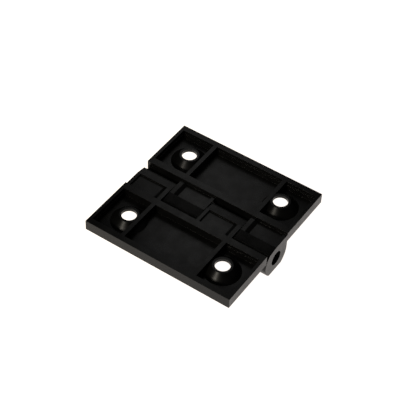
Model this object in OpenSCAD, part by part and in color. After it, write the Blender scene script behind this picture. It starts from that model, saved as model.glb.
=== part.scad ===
// Moulded leaf hinge: two equal ribbed leaves with interleaved knuckles, turning on one plain pin.
// X runs along the pin, Y across the leaves and Z up out of the back (mounting) faces.
// Z = 0 is the flat on the front of the barrel, and the origin is under the middle of the hinge.

/* [Overall] */
// Length of the hinge along the pin
hinge_l = 50; // [40:1:80]
// Width of the open hinge over both leaves
hinge_w = 50; // [42:1:90]
// Thickness of a leaf
leaf_t = 3.55; // [3.2:0.05:5]

/* [Barrel] */
// Depth of the pin axis below the back face
axis_depth = 5.7; // [5.7:0.1:7]
// Outside diameter of the knuckles
barrel_d = 11.5; // [10:0.1:11.7]
// How far the flat top of a knuckle runs past the pin axis
top_past = 0.5; // [0.5:0.05:2]
// Slope of the relief from there down to the round of the barrel
relief_slope = 10; // [8:1:30]
// Height of the pin axis above the flat on the front of the barrel
flat_h = 4.75; // [4.2:0.05:5.8]
// Distance from the pin axis to the edge of a leaf
edge_y = 5.58; // [5.56:0.01:6.5]
// Clearance kept between a knuckle and the edge of the other leaf
barrel_clear = 0.1; // [0.05:0.01:0.12]
// Gap between neighbouring knuckles
knuckle_gap = 0.2; // [0.1:0.05:0.6]
// Step down from the back face to the top of a knuckle
knuckle_drop = 0.75; // [0.5:0.05:1.2]

/* [Knuckle pockets] */
// Depth of a knuckle pocket below the top of its knuckle
knuckle_pocket = 0.6; // [0.4:0.05:1.2]
// Pocket wall on the side of a knuckle that faces its leaf's first end
wall_first = 1.1; // [0.8:0.05:2]
// Pocket wall on the other side of a knuckle
wall_last = 1.4; // [0.8:0.05:2]
// How far a knuckle pocket runs past the pin axis
pocket_past = 0.5; // [0.2:0.05:0.5]
// Run of the slope at the last wall of a knuckle pocket
pocket_ramp = 1.2; // [0.5:0.1:2]

/* [Pin] */
// Bore of the knuckles
bore_d = 4.7; // [4:0.1:6]
// Radial running clearance between pin and bore
pin_clear = 0.05; // [0.02:0.01:0.1]
// How far each end of the pin lies inside the barrel
pin_recess = 3; // [1:0.5:6]
// Chamfer on the ends of the pin
pin_chamfer = 0.4; // [0.2:0.1:0.8]
// Length of the grooved band that grips the leaf
grip_l = 4; // [2:0.5:7]
// Radial interference of the grooved band
grip_fit = 0.02; // [0.01:0.01:0.05]

/* [Leaf pockets] */
// Rim along the two ends of a leaf
rim_end = 1.13; // [0.9:0.01:2.5]
// Rim along the outer edge of a leaf
rim_outer = 1.92; // [1:0.01:3]
// Rim along the hinge side of a leaf
rim_hinge = 2.31; // [1.2:0.01:3]
// Thickness of the pocket floor
floor_t = 0.85; // [0.6:0.05:1.4]
// Depth at which the pocket walls thicken
ledge_depth = 1.1; // [0.6:0.05:1.4]
// How much the pocket walls thicken there
ledge_w = 0.35; // [0.1:0.05:0.6]
// Thickness of a cross rib
rib_t = 1.35; // [0.8:0.05:2.5]
// How far a rib's face stands past the quarter line of the hinge
rib_shift = 0.15; // [0:0.05:0.5]

/* [Screw seats] */
// Distance from the quarter line of the hinge to a screw, towards the end of the leaf
screw_inset = 3.9; // [3.6:0.1:5.5]
// Distance from a screw to the outer edge of its leaf
screw_edge = 9.6; // [9:0.1:10.5]
// Diameter of a screw hole
screw_d = 4.6; // [4:0.1:5.2]
// Wall around the hole at the top of its boss
screw_ring = 0.75; // [0.4:0.05:1]
// How far the top of a boss lies below the back face
boss_drop = 0.17; // [0:0.01:0.5]
// Length of the straight part of a screw hole
screw_land = 1.05; // [0.6:0.01:1.2]

/* [Hidden] */
$fn = 96;
eps = 0.01;
lap = 0.5;                                  // overlap of joined solids
back_z = flat_h + axis_depth;               // back face of both leaves
front_z = back_z - leaf_t;                  // front face of both leaves
floor_z = front_z + floor_t;                // floor of the leaf pockets
ledge_z = back_z - ledge_depth;             // top of the thicker walls
knuckle_z = back_z - knuckle_drop;          // top of the knuckles
half_l = hinge_l / 2;
half_w = hinge_w / 2;
split_x = hinge_l / 4 + knuckle_gap / 2;    // middle of the outer knuckle gaps
end_knuckle = [-half_l, -split_x - knuckle_gap / 2];
mid_knuckle = [knuckle_gap / 2, split_x - knuckle_gap / 2];
bays = [                                    // stretches of a leaf where the other leaf's knuckles turn
    [-mid_knuckle[1] - knuckle_gap, -mid_knuckle[0] + knuckle_gap],
    [-end_knuckle[1] - knuckle_gap, -end_knuckle[0] + knuckle_gap]
];
rib_faces = [for (side = [-1, 1]) side * hinge_l / 4 + rib_shift];
pocket_y = [-half_w + rim_outer, -edge_y - rim_hinge];
boss_r = screw_d / 2 + screw_ring;
boss_h = back_z - boss_drop - floor_z;
boss_sunk = 0.3;                            // how far a boss's cone enters the floor
sink_h = leaf_t - boss_drop - screw_land;   // depth of the countersink
pin_r = bore_d / 2 - pin_clear;
pin_l = hinge_l - 2 * pin_recess;

// Outline across a pocket from a to b, with each wall thicker by first and last below the ledge
function pocket_outline(a, b, first, last) = [
    [a, back_z + 1],
    [a, ledge_z],
    [a + first, ledge_z],
    [a + first, floor_z],
    [b - last, floor_z],
    [b - last, ledge_z],
    [b, ledge_z],
    [b, back_z + 1]
];

// Prism along X of an outline drawn in Y and Z
module along_x(span) {
    translate([span[0], 0, 0])
        rotate([90, 0, 90])
            linear_extrude(span[1] - span[0])
                children();
}

// Prism along Y of an outline drawn in X and Z
module along_y(span) {
    translate([0, span[1], 0])
        rotate([90, 0, 0])
            linear_extrude(span[1] - span[0])
                children();
}

// One open pocket of a leaf: steps gives the ledges at low X, high X and the hinge side
module pocket(span, steps) {
    intersection() {
        along_y([-half_w, -edge_y])
            polygon(pocket_outline(span[0], span[1], steps[0], steps[1]));
        along_x([-half_l, half_l])
            polygon(pocket_outline(pocket_y[0], pocket_y[1], ledge_w, steps[2]));
    }
}

// The flat plate of a leaf with its three pockets, clear of the other leaf's knuckles
module plate() {
    difference() {
        translate([-half_l, -half_w, front_z])
            cube([hinge_l, half_w - edge_y, leaf_t]);
        pocket([-half_l + rim_end, rib_faces[0] - rib_t], [ledge_w, 0, 0]);
        pocket([rib_faces[0], rib_faces[1] - rib_t], [0, 0, 0]);
        pocket([rib_faces[1], half_l - rim_end], [0, ledge_w, ledge_w]);
        for (bay = bays)
            translate([bay[0], 0, flat_h])
                rotate([0, 90, 0])
                    cylinder(h = bay[1] - bay[0], r = barrel_d / 2 + barrel_clear);
    }
}

// Places its children at the two screws of a leaf
module at_screws() {
    for (side = [-1, 1])
        translate([side * (hinge_l / 4 + screw_inset), -half_w + screw_edge, 0])
            children();
}

// Conical boss around a screw hole, spreading at 45 degrees into the floor
module screw_boss() {
    translate([0, 0, floor_z - boss_sunk])
        cylinder(h = boss_h + boss_sunk, r1 = boss_r + boss_h + boss_sunk, r2 = boss_r);
}

// Straight hole with a 90 degree countersink that opens on the front
module screw_hole() {
    translate([0, 0, front_z - 1])
        cylinder(h = leaf_t + 2, d = screw_d);
    translate([0, 0, front_z - eps])
        cylinder(h = sink_h + eps, r1 = screw_d / 2 + sink_h + eps, r2 = screw_d / 2);
}

// Section of a knuckle: the round barrel with its front flat and top relief, and its web to the leaf
module knuckle_section() {
    relief_w = half_w - top_past;
    difference() {
        union() {
            translate([0, flat_h])
                circle(d = barrel_d);
            translate([-barrel_d / 2, flat_h])
                square([barrel_d / 2, knuckle_z - flat_h]);
        }
        translate([-half_w, knuckle_z])
            square([hinge_w, hinge_w]);
        translate([-half_w, -hinge_w])
            square([hinge_w, hinge_w]);
        polygon([
            [top_past, knuckle_z],
            [top_past + relief_w, knuckle_z - relief_w * tan(relief_slope)],
            [top_past + relief_w, knuckle_z]
        ]);
    }
    translate([-edge_y - lap, front_z + lap])
        square([edge_y + lap, knuckle_z - front_z - lap]);
}

// Shallow pocket in the top of a knuckle, upright at its first wall and sloping up to its last
module knuckle_pocket_cut(span) {
    first_x = span[0] + wall_first;
    last_x = span[1] - wall_last;
    bottom_z = knuckle_z - knuckle_pocket;
    along_y([-edge_y, pocket_past])
        polygon([
            [first_x, bottom_z],
            [last_x - pocket_ramp, bottom_z],
            [last_x, knuckle_z],
            [last_x, knuckle_z + 1],
            [first_x, knuckle_z + 1]
        ]);
}

// One knuckle over the stretch span of the pin
module knuckle(span) {
    difference() {
        along_x(span)
            knuckle_section();
        knuckle_pocket_cut(span);
    }
}

// A whole leaf on the -Y side of the pin
module leaf() {
    difference() {
        union() {
            plate();
            intersection() {
                at_screws()
                    screw_boss();
                translate([-half_l, -half_w, front_z])
                    cube([hinge_l, half_w - edge_y, leaf_t]);
            }
            knuckle(end_knuckle);
            knuckle(mid_knuckle);
        }
        at_screws()
            screw_hole();
        translate([-half_l - 1, 0, flat_h])
            rotate([0, 90, 0])
                cylinder(h = hinge_l + 2, d = bore_d);
    }
}

// The leaf that stays still, on the -Y side
module fixed_leaf() {
    color([0.1, 0.1, 0.1])
        leaf();
}

// The same leaf turned end for end, on the +Y side
module swing_leaf() {
    color([0.16, 0.16, 0.16])
        rotate([0, 0, 180])
            leaf();
}

// Plain pin with chamfered ends and a band that grips the fixed leaf's end knuckle
module hinge_pin() {
    color("silver")
        translate([-pin_l / 2, 0, flat_h])
            rotate([0, 90, 0]) {
                cylinder(h = pin_chamfer, r1 = pin_r - pin_chamfer, r2 = pin_r);
                translate([0, 0, pin_chamfer])
                    cylinder(h = pin_l - 2 * pin_chamfer, r = pin_r);
                translate([0, 0, pin_l - pin_chamfer])
                    cylinder(h = pin_chamfer, r1 = pin_r, r2 = pin_r - pin_chamfer);
                translate([0, 0, 2 * pin_chamfer])
                    cylinder(h = grip_l, r = bore_d / 2 + grip_fit);
            }
}

fixed_leaf();
swing_leaf();
hinge_pin();
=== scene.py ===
import math
import bmesh
import bpy
from mathutils import Matrix, Vector


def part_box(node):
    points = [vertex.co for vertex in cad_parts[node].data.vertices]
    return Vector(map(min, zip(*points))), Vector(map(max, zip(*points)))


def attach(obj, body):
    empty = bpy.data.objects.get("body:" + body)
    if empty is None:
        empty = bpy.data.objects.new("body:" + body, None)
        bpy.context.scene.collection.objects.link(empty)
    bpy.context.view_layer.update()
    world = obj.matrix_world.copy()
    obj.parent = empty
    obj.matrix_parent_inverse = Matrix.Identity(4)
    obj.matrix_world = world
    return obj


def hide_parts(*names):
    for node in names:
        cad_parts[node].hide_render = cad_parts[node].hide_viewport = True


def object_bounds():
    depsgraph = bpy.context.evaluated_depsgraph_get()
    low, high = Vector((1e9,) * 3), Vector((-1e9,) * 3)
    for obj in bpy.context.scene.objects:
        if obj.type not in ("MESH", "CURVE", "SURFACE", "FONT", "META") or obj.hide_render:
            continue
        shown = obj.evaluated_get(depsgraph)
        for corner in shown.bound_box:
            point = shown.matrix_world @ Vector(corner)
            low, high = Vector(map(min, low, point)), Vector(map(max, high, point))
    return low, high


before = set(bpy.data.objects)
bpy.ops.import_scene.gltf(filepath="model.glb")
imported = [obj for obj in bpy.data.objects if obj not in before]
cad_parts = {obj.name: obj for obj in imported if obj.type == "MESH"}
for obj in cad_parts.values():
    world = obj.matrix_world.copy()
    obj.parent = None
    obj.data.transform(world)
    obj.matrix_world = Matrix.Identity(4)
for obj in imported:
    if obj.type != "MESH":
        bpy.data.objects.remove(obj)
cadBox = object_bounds()
mm = 0.001
overshoot = 1 * mm                    # how far a cutting tool runs past the faces it opens


class Wire:
    # wraps one output socket, so that sums on shader values read as plain Python
    def __init__(self, tree, socket):
        self.tree = tree
        self.socket = socket

    def maths(self, operation, other, flip=False):
        isVector = self.socket.type in ("VECTOR", "RGBA")
        kind = "ShaderNodeVectorMath" if isVector else "ShaderNodeMath"
        first, second = (other, self) if flip else (self, other)
        return self.tree.node(kind, {"operation": operation}, {0: first, 1: second})

    def __add__(self, other):
        return self.maths("ADD", other)

    def __radd__(self, other):
        return self.maths("ADD", other, True)

    def __sub__(self, other):
        return self.maths("SUBTRACT", other)

    def __rsub__(self, other):
        return self.maths("SUBTRACT", other, True)

    def __mul__(self, other):
        return self.maths("MULTIPLY", other)

    def __rmul__(self, other):
        return self.maths("MULTIPLY", other, True)


class Recipe:
    # one material's node tree
    def __init__(self, name):
        self.material = bpy.data.materials.new(name)
        self.material.use_nodes = True
        self.nodes = self.material.node_tree.nodes
        self.links = self.material.node_tree.links
        self.nodes.clear()

    def node(self, kind, settings=None, values=None, output=0):
        made = self.nodes.new(kind)
        for key, value in (settings or {}).items():
            setattr(made, key, value)
        for key, value in (values or {}).items():
            if isinstance(value, Wire):
                self.links.new(value.socket, made.inputs[key])
            else:
                made.inputs[key].default_value = value
        return Wire(self, made.outputs[output]) if len(made.outputs) else None

    def objectPlace(self):
        return self.node("ShaderNodeTexCoord", output="Object")

    def noise(self, place, scale, detail, roughness):
        values = {"Vector": place, "Scale": scale, "Detail": detail, "Roughness": roughness}
        return self.node("ShaderNodeTexNoise", {"noise_dimensions": "3D"}, values)

    def mixColours(self, factor, first, second):
        # inputs 0, 6 and 7 and output 2 are the ones that a Mix node uses for colours
        return self.node("ShaderNodeMix", {"data_type": "RGBA"}, {0: factor, 6: first, 7: second}, 2)

    def finish(self, shader):
        self.node("ShaderNodeOutputMaterial", {}, {"Surface": shader})
        return self.material


def newPiece(name, mesh):
    piece = bpy.data.objects.new(name, mesh)
    bpy.context.scene.collection.objects.link(piece)
    return piece


def loft(name, rings):
    # closed skin over a stack of rings that all have the same number of points
    bm = bmesh.new()
    rows = [[bm.verts.new(point) for point in ring] for ring in rings]
    count = len(rows[0])
    for low, high in zip(rows, rows[1:]):
        for i in range(count):
            j = (i + 1) % count
            bm.faces.new((low[i], low[j], high[j], high[i]))
    bm.faces.new(reversed(rows[0]))
    bm.faces.new(rows[-1])
    bmesh.ops.recalc_face_normals(bm, faces=bm.faces)
    mesh = bpy.data.meshes.new(name)
    bm.to_mesh(mesh)
    bm.free()
    return newPiece(name, mesh)


def rectangle(x0, x1, y0, y1, z):
    return [(x0, y0, z), (x1, y0, z), (x1, y1, z), (x0, y1, z)]


def turnsAround(steps):
    return [2 * math.pi * i / steps for i in range(steps)]


def turned(name, centre, profile, steps):
    # solid of revolution about a vertical line; profile is a list of (radius, height)
    x, y = centre
    turns = turnsAround(steps)
    rings = [[(x + radius * math.cos(t), y + radius * math.sin(t), height) for t in turns]
             for radius, height in profile]
    return loft(name, rings)


def barAlongX(name, outline, span):
    # prism of an outline given in Y and Z
    return loft(name, [[(x, y, z) for y, z in outline] for x in span])


def bake(piece):
    # applies every modifier on the piece
    bpy.context.view_layer.update()
    view = bpy.context.evaluated_depsgraph_get()
    done = bpy.data.meshes.new_from_object(piece.evaluated_get(view), depsgraph=view)
    old = piece.data
    piece.modifiers.clear()
    piece.data = done
    bpy.data.meshes.remove(old)


def carve(target, tool, operation):
    # boolean of two pieces, applied at once; the tool is used up
    step = target.modifiers.new("carve", "BOOLEAN")
    step.operation = operation
    step.solver = "EXACT"
    step.object = tool
    bake(target)
    spent = tool.data
    bpy.data.objects.remove(tool)
    bpy.data.meshes.remove(spent)


def tidyMesh(piece, weldWithin, flatAngle):
    # welds stray points and merges what lies in one plane
    bm = bmesh.new()
    bm.from_mesh(piece.data)
    bmesh.ops.remove_doubles(bm, verts=bm.verts, dist=weldWithin)
    bmesh.ops.dissolve_limit(bm, angle_limit=flatAngle, verts=bm.verts, edges=bm.edges)
    bm.to_mesh(piece.data)
    bm.free()


def roundEdges(piece, shape):
    # rounds every edge sharper than the shape's edge angle
    step = piece.modifiers.new("round", "BEVEL")
    step.width = shape["edgeRound"]
    step.segments = shape["edgeSegments"]
    step.limit_method = "ANGLE"
    step.angle_limit = shape["edgeAngle"]
    step.miter_outer = "MITER_ARC"
    step.use_clamp_overlap = True
    step.loop_slide = False
    step.harden_normals = True
    piece.data.shade_smooth()
    bake(piece)


leafShape = {
    "thickness": 3.55 * mm,
    "edgeY": 5.58 * mm,               # from the pin's axis to the edge of the leaf
    "rimEnd": 1.13 * mm,
    "rimOuter": 1.92 * mm,
    "rimHinge": 2.31 * mm,
    "floorThickness": 0.85 * mm,
    "ledgeDepth": 1.1 * mm,           # where the pocket walls step out, below the back face
    "ledgeWidth": 0.35 * mm,
    "ribThickness": 1.35 * mm,
    "ribShift": 0.15 * mm,            # of a rib's face past the quarter line
    "screwInset": 3.9 * mm,           # from the quarter line towards the leaf's end
    "screwEdge": 9.6 * mm,            # from the outer edge of the leaf
    "screwRadius": 2.3 * mm,
    "screwRing": 0.75 * mm,           # wall around the hole at the top of its boss
    "bossDrop": 0.17 * mm,
    "screwLand": 1.05 * mm,           # straight part of the hole
    "roundSteps": 96,                 # sides of bosses, holes and bore
    "weldWithin": 0.004 * mm,
    "flatAngle": math.radians(0.4),
    "edgeRound": 0.1 * mm,
    "edgeSegments": 3,
    "edgeAngle": math.radians(8),
}

knuckleShape = {
    "radius": 5.75 * mm,
    "topPast": 0.5 * mm,              # of the flat top past the pin's axis
    "reliefSlope": math.radians(10),  # from there down to the round of the barrel
    "axisDepth": 5.7 * mm,            # of the pin's axis below the back face
    "gap": 0.2 * mm,
    "drop": 0.75 * mm,                # of the knuckle's top below the back face
    "pocket": 0.6 * mm,
    "wallFirst": 1.1 * mm,
    "wallLast": 1.4 * mm,
    "pocketPast": 0.5 * mm,
    "pocketRamp": 1.2 * mm,
    "boreRadius": 2.35 * mm,
    "lap": 0.5 * mm,                  # of the knuckle's web inside the leaf
    "arcSteps": 72,
}

lowCorner, highCorner = cadBox
halfLength = (highCorner[0] - lowCorner[0]) / 2
halfWidth = (highCorner[1] - lowCorner[1]) / 2
backZ = highCorner[2]
frontZ = backZ - leafShape["thickness"]
axisZ = backZ - knuckleShape["axisDepth"]


def cutPocket(body, span, ledges):
    # ledges tells which walls step out: at the low end, the high end and the hinge side
    floorZ = frontZ + leafShape["floorThickness"]
    ledgeZ = backZ - leafShape["ledgeDepth"]
    step = leafShape["ledgeWidth"]
    y0 = -halfWidth + leafShape["rimOuter"]
    y1 = -leafShape["edgeY"] - leafShape["rimHinge"]
    low, high, hinge = [step if wanted else 0 for wanted in ledges]
    upper = (span[0], span[1], y0, y1)
    lower = (span[0] + low, span[1] - high, y0 + step, y1 - hinge)
    for sides, bottom in ((upper, ledgeZ), (lower, floorZ)):
        tool = loft("pocket", [rectangle(*sides, z) for z in (bottom, backZ + overshoot)])
        carve(body, tool, "DIFFERENCE")


def plate():
    quarter = halfLength / 2
    ribs = [side * quarter + leafShape["ribShift"] for side in (-1, 1)]
    rib = leafShape["ribThickness"]
    end = leafShape["rimEnd"]
    body = loft("leaf", [rectangle(-halfLength, halfLength, -halfWidth, -leafShape["edgeY"], z)
                         for z in (frontZ, backZ)])
    spans = [
        ((-halfLength + end, ribs[0] - rib), (True, False, False)),
        ((ribs[0], ribs[1] - rib), (False, False, False)),
        ((ribs[1], halfLength - end), (False, True, True)),
    ]
    for span, ledges in spans:
        cutPocket(body, span, ledges)
    return body


def screwPlaces():
    x = halfLength / 2 + leafShape["screwInset"]
    return [(side * x, -halfWidth + leafShape["screwEdge"]) for side in (-1, 1)]


def bossTool(place):
    # cone around a hole, spreading at 45 degrees down into the pocket floor
    topRadius = leafShape["screwRadius"] + leafShape["screwRing"]
    topZ = backZ - leafShape["bossDrop"]
    lowZ = frontZ + leafShape["floorThickness"] / 2
    profile = [(topRadius + topZ - lowZ, lowZ), (topRadius, topZ)]
    return turned("boss", place, profile, leafShape["roundSteps"])


def screwTool(place):
    # straight hole with a 90 degree countersink on the front
    radius = leafShape["screwRadius"]
    sink = leafShape["thickness"] - leafShape["bossDrop"] - leafShape["screwLand"]
    past = 0.5 * mm
    profile = [(radius + sink + past, frontZ - past), (radius, frontZ + sink), (radius, backZ + past)]
    return turned("screw", place, profile, leafShape["roundSteps"])


def arcPoints(centreZ, radius, start, end, steps):
    turns = [start + (end - start) * i / steps for i in range(steps + 1)]
    return [(radius * math.cos(turn), centreZ + radius * math.sin(turn)) for turn in turns]


def knuckleOutline():
    # web to the leaf, round barrel with a front flat, and a sloping relief past the axis
    radius = knuckleShape["radius"]
    steps = knuckleShape["arcSteps"]
    lap = knuckleShape["lap"]
    slope = knuckleShape["reliefSlope"]
    edge = -leafShape["edgeY"]
    topZ = backZ - knuckleShape["drop"]
    flatTurn = math.acos(axisZ / radius)
    down = -math.pi / 2
    # the relief's line passes the axis at this distance and meets the round at meetTurn
    reach = (topZ - axisZ) * math.cos(slope) + knuckleShape["topPast"] * math.sin(slope)
    meetTurn = math.pi / 2 - slope - math.acos(reach / radius)
    web = [(edge - lap, topZ), (edge - lap, frontZ + lap), (-radius, frontZ + lap)]
    under = arcPoints(axisZ, radius, -math.pi, down - flatTurn, steps)
    free = arcPoints(axisZ, radius, down + flatTurn, meetTurn, steps * 2)
    return web + under + free + [(knuckleShape["topPast"], topZ)]


def knuckle(span):
    body = barAlongX("knuckle", knuckleOutline(), span)
    topZ = backZ - knuckleShape["drop"]
    x0 = span[0] + knuckleShape["wallFirst"]
    x1 = span[1] - knuckleShape["wallLast"]
    y0 = -leafShape["edgeY"]
    y1 = knuckleShape["pocketPast"]
    rings = [
        rectangle(x0, x1 - knuckleShape["pocketRamp"], y0, y1, topZ - knuckleShape["pocket"]),
        rectangle(x0, x1, y0, y1, topZ),
        rectangle(x0, x1, y0, y1, backZ + overshoot),
    ]
    carve(body, loft("knucklePocket", rings), "DIFFERENCE")
    return body


def knuckleSpans():
    half = knuckleShape["gap"] / 2
    split = halfLength / 2 + half
    return [(-halfLength, -split - half), (half, split - half)]


def boreTool():
    radius = knuckleShape["boreRadius"]
    turns = turnsAround(leafShape["roundSteps"])
    circle = [(radius * math.cos(t), axisZ + radius * math.sin(t)) for t in turns]
    return barAlongX("bore", circle, (-halfLength - overshoot, halfLength + overshoot))


def makeLeaf():
    # the moulding on the -Y side of the pin
    body = plate()
    for place in screwPlaces():
        carve(body, bossTool(place), "UNION")
    for span in knuckleSpans():
        carve(body, knuckle(span), "UNION")
    for place in screwPlaces():
        carve(body, screwTool(place), "DIFFERENCE")
    carve(body, boreTool(), "DIFFERENCE")
    tidyMesh(body, leafShape["weldWithin"], leafShape["flatAngle"])
    roundEdges(body, leafShape)
    return body


pinShape = {
    "radius": 2.3 * mm,
    "chamfer": 0.4 * mm,
    "grooves": 28,
    "grooveDepth": 0.06 * mm,
    "gripStart": 0.8 * mm,            # from the pin's low end to its grooved band
    "gripLength": 4.0 * mm,
    "gripLead": 0.1 * mm,             # run-up at each end of the band
    "ringSteps": 112,
    "edgeRound": 0.08 * mm,
    "edgeSegments": 2,
    "edgeAngle": math.radians(30),
}


def makePin():
    low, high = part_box("hinge_pin")
    radius = pinShape["radius"]
    chamfer = pinShape["chamfer"]
    lead = pinShape["gripLead"]
    gripA = low[0] + pinShape["gripStart"]
    gripB = gripA + pinShape["gripLength"]
    full = (high[2] - low[2]) / 2
    stations = [                      # place along X, radius there, and whether it is grooved
        (low[0], radius - chamfer, 0),
        (low[0] + chamfer, radius, 0),
        (gripA, radius, 0),
        (gripA + lead, full, 1),
        (gripB - lead, full, 1),
        (gripB, radius, 0),
        (high[0] - chamfer, radius, 0),
        (high[0], radius - chamfer, 0),
    ]
    rings = []
    for x, size, grooved in stations:
        ring = []
        for turn in turnsAround(pinShape["ringSteps"]):
            dip = grooved * pinShape["grooveDepth"] * (0.5 - 0.5 * math.cos(turn * pinShape["grooves"]))
            ring.append((x, (size - dip) * math.cos(turn), axisZ + (size - dip) * math.sin(turn)))
        rings.append(ring)
    pin = loft("pin_turned", rings)
    roundEdges(pin, pinShape)
    return pin


plasticLook = {
    "base": (0.0022, 0.0022, 0.0021, 1),
    "paler": (0.0042, 0.0041, 0.0040, 1),
    "roughness": 0.32,
    "roughnessSpread": 0.12,          # from the grain
    "cloudSpread": 0.09,              # from the clouds of the flow pattern
    "specular": 0.16,
    "ior": 1.5,
    "grainScale": 5200,
    "grainDetail": 2.0,
    "grainRoughness": 0.6,
    "grainStrength": 0.10,
    "grainDepth": 0.012 * mm,
    "grainShare": 0.4,                # of the colour change, the rest comes from the clouds
    "flowScale": 300,
    "flowDetail": 3.0,
    "flowRoughness": 0.5,
    "flowStrength": 0.5,
    "flowDepth": 0.03 * mm,
    "cloudRange": (0.35, 0.65),       # of the flow noise that becomes 0 to 1
}

steelLook = {
    "base": (0.42, 0.42, 0.43, 1),
    "darker": (0.30, 0.30, 0.31, 1),
    "roughness": 0.32,
    "roughnessSpread": 0.16,
    "drawStretch": (0.05, 1, 1),      # draws the noise out along the pin
    "drawScale": 900,
    "drawDetail": 3.0,
    "drawRoughness": 0.5,
    "drawStrength": 0.4,
    "drawDepth": 0.006 * mm,
}


def blackPlastic():
    make = Recipe("satin_black_plastic")
    look = plasticLook
    place = make.objectPlace()
    grain = make.noise(place, look["grainScale"], look["grainDetail"], look["grainRoughness"])
    flow = make.noise(place, look["flowScale"], look["flowDetail"], look["flowRoughness"])
    cloudLow, cloudHigh = look["cloudRange"]
    cloud = make.node("ShaderNodeMapRange", {"clamp": True},
                      {"Value": flow, "From Min": cloudLow, "From Max": cloudHigh})
    share = look["grainShare"]
    colour = make.mixColours(cloud * (1 - share) + grain * share, look["base"], look["paler"])
    roughness = (look["roughness"] + (grain - 0.5) * look["roughnessSpread"]
                 + (cloud - 0.5) * look["cloudSpread"])
    soft = make.node("ShaderNodeBump", {},
                     {"Strength": look["flowStrength"], "Distance": look["flowDepth"], "Height": flow})
    relief = make.node("ShaderNodeBump", {},
                       {"Strength": look["grainStrength"], "Distance": look["grainDepth"],
                        "Height": grain, "Normal": soft})
    shader = make.node("ShaderNodeBsdfPrincipled", {},
                       {"Base Color": colour, "Roughness": roughness, "Normal": relief,
                        "IOR": look["ior"], "Specular IOR Level": look["specular"]})
    return make.finish(shader)


def drawnSteel():
    make = Recipe("drawn_steel")
    look = steelLook
    stretched = make.objectPlace() * look["drawStretch"]
    lines = make.noise(stretched, look["drawScale"], look["drawDetail"], look["drawRoughness"])
    colour = make.mixColours(lines, look["base"], look["darker"])
    roughness = look["roughness"] + (lines - 0.5) * look["roughnessSpread"]
    relief = make.node("ShaderNodeBump", {},
                       {"Strength": look["drawStrength"], "Distance": look["drawDepth"], "Height": lines})
    shader = make.node("ShaderNodeBsdfPrincipled", {},
                       {"Base Color": colour, "Roughness": roughness, "Metallic": 1.0, "Normal": relief})
    return make.finish(shader)


floorLook = {
    "size": 3.0,
    "gap": 0.02 * mm,                 # below the hinge
    "shade": (0.3, 0.3, 0.3, 1),
    "roughness": 0.9,
    "specular": 0.1,
    # the floor glows brighter at the left (-X) than at the right (+X): painted light on the left and
    # painted shade on the right, which the hinge's front side reflects as a fall from bright to dark
    "paintedLightLeft": (1.0, 0.93, 0.84, 1),
    "paintedShadeRight": (0.88, 0.83, 0.80, 1),
    "paintedShadeFade": 0.03,                 # half the width over which the painted light on the left turns into the painted shade on the right
    "glowStrength": 1.27,
}

worldLook = {
    "shade": (0.62, 0.66, 0.72, 1),
    "strength": 0.05,
}

cameraSetup = {
    "place": (0.13734, -0.21985, 0.28648),
    "azimuth": 32.37,
    "elevation": 46.49,
    "roll": 2.87,
    "lens": 116.28,
    "sensor": 36,
    "nearest": 0.01,
}

backMiddle = (0, 0, 0.0105)           # middle of the hinge's back
warmLight = (1.0, 0.93, 0.80)
whiteLight = (1.0, 0.99, 0.97)
lamps = [
    {"name": "backPanel", "place": (-0.046, 0.075, 0.108), "aim": (0.002, 0, 0.0105),
     "size": (0.05, 0.05), "power": 0.0088, "shade": whiteLight},
    {"name": "lowPanel", "place": (-0.062, 0.104, 0.070), "aim": (0.002, 0, 0.0105),
     "size": (0.06, 0.04), "power": 0.0042, "shade": whiteLight},
    {"name": "frontStrip", "place": (-0.20, -0.88, 0.53), "aim": backMiddle,
     "size": (0.25, 0.18), "power": 5.0, "shade": warmLight},
    {"name": "frontHaze", "place": (-0.20, -0.50, 0.85), "aim": backMiddle,
     "size": (0.3, 0.4), "power": 0.45, "shade": warmLight},
]


def makeFloor():
    half = floorLook["size"] / 2
    bm = bmesh.new()
    corners = rectangle(-half, half, -half, half, lowCorner[2] - floorLook["gap"])
    bm.faces.new([bm.verts.new(corner) for corner in corners])
    mesh = bpy.data.meshes.new("floor")
    bm.to_mesh(mesh)
    bm.free()
    floor = newPiece("floor", mesh)
    make = Recipe("pale_floor_painted_shade")
    # painted light and shade: the floor's glow runs from brighter at -X to dimmer at +X
    fade = floorLook["paintedShadeFade"]
    across = make.node("ShaderNodeSeparateXYZ", {}, {"Vector": make.objectPlace()})
    side = make.node("ShaderNodeMapRange", {"clamp": True},
                     {"Value": across, "From Min": -fade, "From Max": fade})
    glow = make.mixColours(side, floorLook["paintedLightLeft"], floorLook["paintedShadeRight"])
    shader = make.node("ShaderNodeBsdfPrincipled", {},
                       {"Base Color": floorLook["shade"], "Roughness": floorLook["roughness"],
                        "Specular IOR Level": floorLook["specular"],
                        "Emission Color": glow, "Emission Strength": floorLook["glowStrength"]})
    mesh.materials.append(make.finish(shader))


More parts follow.
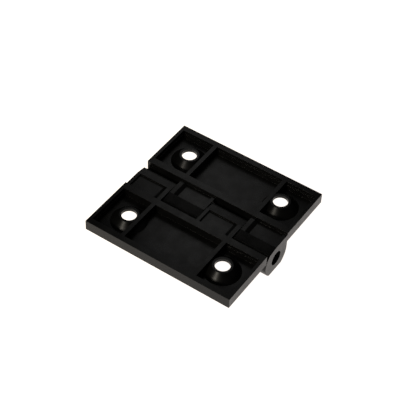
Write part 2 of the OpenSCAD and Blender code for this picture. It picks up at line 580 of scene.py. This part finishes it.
def makeLamp(lamp):
    light = bpy.data.lights.new(lamp["name"], "AREA")
    light.shape = "RECTANGLE"
    light.size, light.size_y = lamp["size"]
    light.energy = lamp["power"]
    light.color = lamp["shade"]
    holder = bpy.data.objects.new(lamp["name"], light)
    bpy.context.scene.collection.objects.link(holder)
    holder.location = lamp["place"]
    backwards = Vector(lamp["place"]) - Vector(lamp["aim"])   # a lamp shines along its own -Z
    holder.rotation_euler = backwards.to_track_quat("Z", "Y").to_euler()
    holder.visible_camera = False


def makeWorld():
    world = bpy.data.worlds.new("studio")
    world.use_nodes = True
    back = world.node_tree.nodes["Background"]
    back.inputs["Color"].default_value = worldLook["shade"]
    back.inputs["Strength"].default_value = worldLook["strength"]
    bpy.context.scene.world = world


def makeCamera():
    data = bpy.data.cameras.new("camera")
    data.lens = cameraSetup["lens"]
    data.sensor_width = cameraSetup["sensor"]
    data.clip_start = cameraSetup["nearest"]
    camera = bpy.data.objects.new("camera", data)
    bpy.context.scene.collection.objects.link(camera)
    turn = Matrix.Rotation(math.radians(cameraSetup["azimuth"]), 3, "Z")
    tilt = Matrix.Rotation(math.radians(90 - cameraSetup["elevation"]), 3, "X")
    roll = Matrix.Rotation(math.radians(cameraSetup["roll"]), 3, "Z")
    camera.rotation_euler = (turn @ tilt @ roll).to_euler()
    camera.location = cameraSetup["place"]
    bpy.context.scene.camera = camera


makeCamera()
makeWorld()
makeFloor()
for lamp in lamps:
    makeLamp(lamp)
bpy.context.scene.view_settings.view_transform = "Standard"
print("studio ready")

plastic = blackPlastic()
steel = drawnSteel()
print("materials ready")

nearLeaf = makeLeaf()
nearLeaf.name = "fixed_leaf_moulding"
nearLeaf.data.materials.clear()
nearLeaf.data.materials.append(plastic)
farLeaf = newPiece("swing_leaf_moulding", nearLeaf.data.copy())
farLeaf.data.transform(Matrix.Rotation(math.pi, 4, "Z"))   # the same moulding, turned end for end
pin = makePin()
pin.data.materials.append(steel)
print("pieces ready")

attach(nearLeaf, "fixed_side")
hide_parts("fixed_leaf")
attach(farLeaf, "swing_side")
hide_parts("swing_leaf")
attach(pin, "fixed_side")
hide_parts("hinge_pin")
